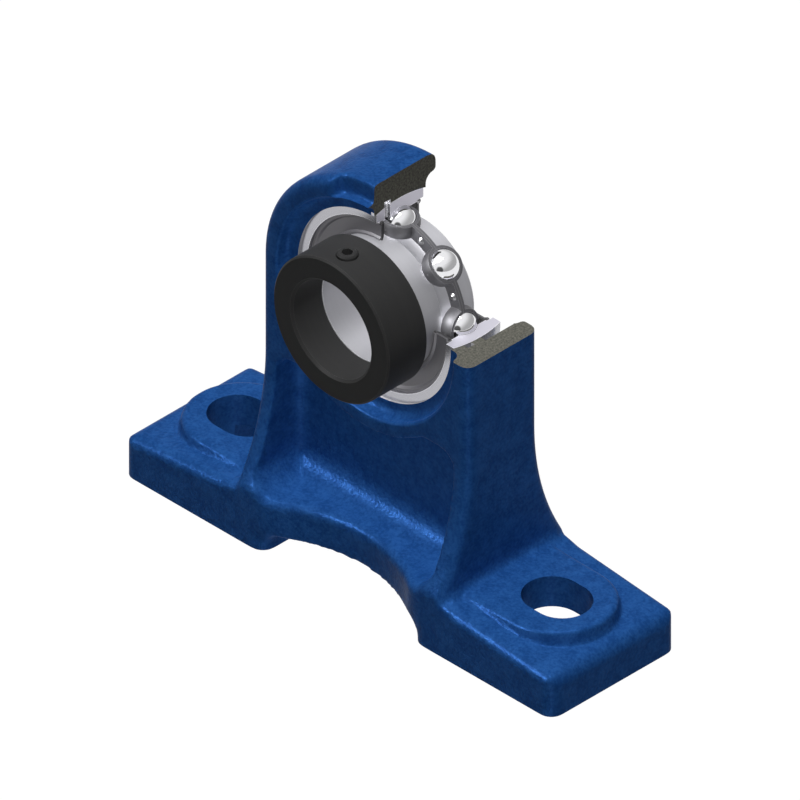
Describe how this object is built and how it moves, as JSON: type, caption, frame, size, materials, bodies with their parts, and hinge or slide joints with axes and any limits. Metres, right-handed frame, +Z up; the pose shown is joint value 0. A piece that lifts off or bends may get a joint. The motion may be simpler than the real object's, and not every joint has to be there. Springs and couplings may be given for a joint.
{
  "type": "sectioned pillow block bearing",
  "caption": "Tall cast pillow block unit with a spherical seated ball bearing insert and an eccentric locking collar, one quarter cut away to show the inside.",
  "frame": {"origin": "on the mounting face, midway between the two bolt slots", "axes": "+X along the base, +Y along the shaft away from the locking collar, +Z up from the mounting face"},
  "size_m": [0.165, 0.051, 0.1298],
  "materials": {
    "housing_paint": "blue enamel over rough cast iron, with bare cut faces",
    "bearing_steel": "ground bearing steel",
    "ball_steel": "lapped and polished",
    "collar_black": "black oxide",
    "cage_strip": "pressed strip steel, dull",
    "rivet_steel": "bright rivet heads",
    "seal_sheet": "stamped sheet steel, dark grey",
    "seal_rubber": "moulded black rubber"
  },
  "bodies": {
    "housing": {"housing": "housing_paint"},
    "insert": {"outer_ring": "bearing_steel", "front_seal_shield": "seal_sheet", "front_seal_lip": "seal_rubber", "rear_seal_shield": "seal_sheet", "rear_seal_lip": "seal_rubber"},
    "inner": {"inner_ring": "bearing_steel", "locking_collar": "collar_black", "collar_set_screw": "collar_black"},
    "cage": {"cage_front_half": "cage_strip", "cage_rear_half": "cage_strip", "cage_rivets": "rivet_steel"},
    "ball_1": {"ball_1": "ball_steel"},
    "ball_2": {"ball_2": "ball_steel"},
    "ball_3": {"ball_3": "ball_steel"},
    "ball_4": {"ball_4": "ball_steel"},
    "ball_5": {"ball_5": "ball_steel"},
    "ball_6": {"ball_6": "ball_steel"},
    "ball_7": {"ball_7": "ball_steel"},
    "ball_8": {"ball_8": "ball_steel"}
  },
  "joints": [
    {"name": "insert_tilt", "type": "hinge", "parent": "housing", "child": "insert", "pos_m": [0, 0, 0.09], "axis": [1, 0, 0], "range_deg": [-3, 3]},
    {"name": "shaft_spin", "type": "hinge", "parent": "insert", "child": "inner", "pos_m": [0, 0, 0.09], "axis": [0, 1, 0], "continuous": true},
    {"name": "cage_spin", "type": "hinge", "parent": "insert", "child": "cage", "pos_m": [0, 0, 0.09], "axis": [0, 1, 0], "continuous": true},
    {"name": "ball_1_spin", "type": "hinge", "parent": "cage", "child": "ball_1", "pos_m": [0, 0, 0.113], "axis": [0, 1, 0], "continuous": true},
    {"name": "ball_2_spin", "type": "hinge", "parent": "cage", "child": "ball_2", "pos_m": [0.01626, 0, 0.10626], "axis": [0, 1, 0], "continuous": true},
    {"name": "ball_3_spin", "type": "hinge", "parent": "cage", "child": "ball_3", "pos_m": [0.023, 0, 0.09], "axis": [0, 1, 0], "continuous": true},
    {"name": "ball_4_spin", "type": "hinge", "parent": "cage", "child": "ball_4", "pos_m": [0.01626, 0, 0.07374], "axis": [0, 1, 0], "continuous": true},
    {"name": "ball_5_spin", "type": "hinge", "parent": "cage", "child": "ball_5", "pos_m": [0, 0, 0.067], "axis": [0, 1, 0], "continuous": true},
    {"name": "ball_6_spin", "type": "hinge", "parent": "cage", "child": "ball_6", "pos_m": [-0.01626, 0, 0.07374], "axis": [0, 1, 0], "continuous": true},
    {"name": "ball_7_spin", "type": "hinge", "parent": "cage", "child": "ball_7", "pos_m": [-0.023, 0, 0.09], "axis": [0, 1, 0], "continuous": true},
    {"name": "ball_8_spin", "type": "hinge", "parent": "cage", "child": "ball_8", "pos_m": [-0.01626, 0, 0.10626], "axis": [0, 1, 0], "continuous": true}
  ],
  "couplings": [
    {"joint": "cage_spin", "follows": "shaft_spin", "ratio": 0.39647},
    {"joint": "ball_1_spin", "follows": "shaft_spin", "ratio": -2.3112},
    {"joint": "ball_2_spin", "follows": "shaft_spin", "ratio": -2.3112},
    {"joint": "ball_3_spin", "follows": "shaft_spin", "ratio": -2.3112},
    {"joint": "ball_4_spin", "follows": "shaft_spin", "ratio": -2.3112},
    {"joint": "ball_5_spin", "follows": "shaft_spin", "ratio": -2.3112},
    {"joint": "ball_6_spin", "follows": "shaft_spin", "ratio": -2.3112},
    {"joint": "ball_7_spin", "follows": "shaft_spin", "ratio": -2.3112},
    {"joint": "ball_8_spin", "follows": "shaft_spin", "ratio": -2.3112}
  ]
}
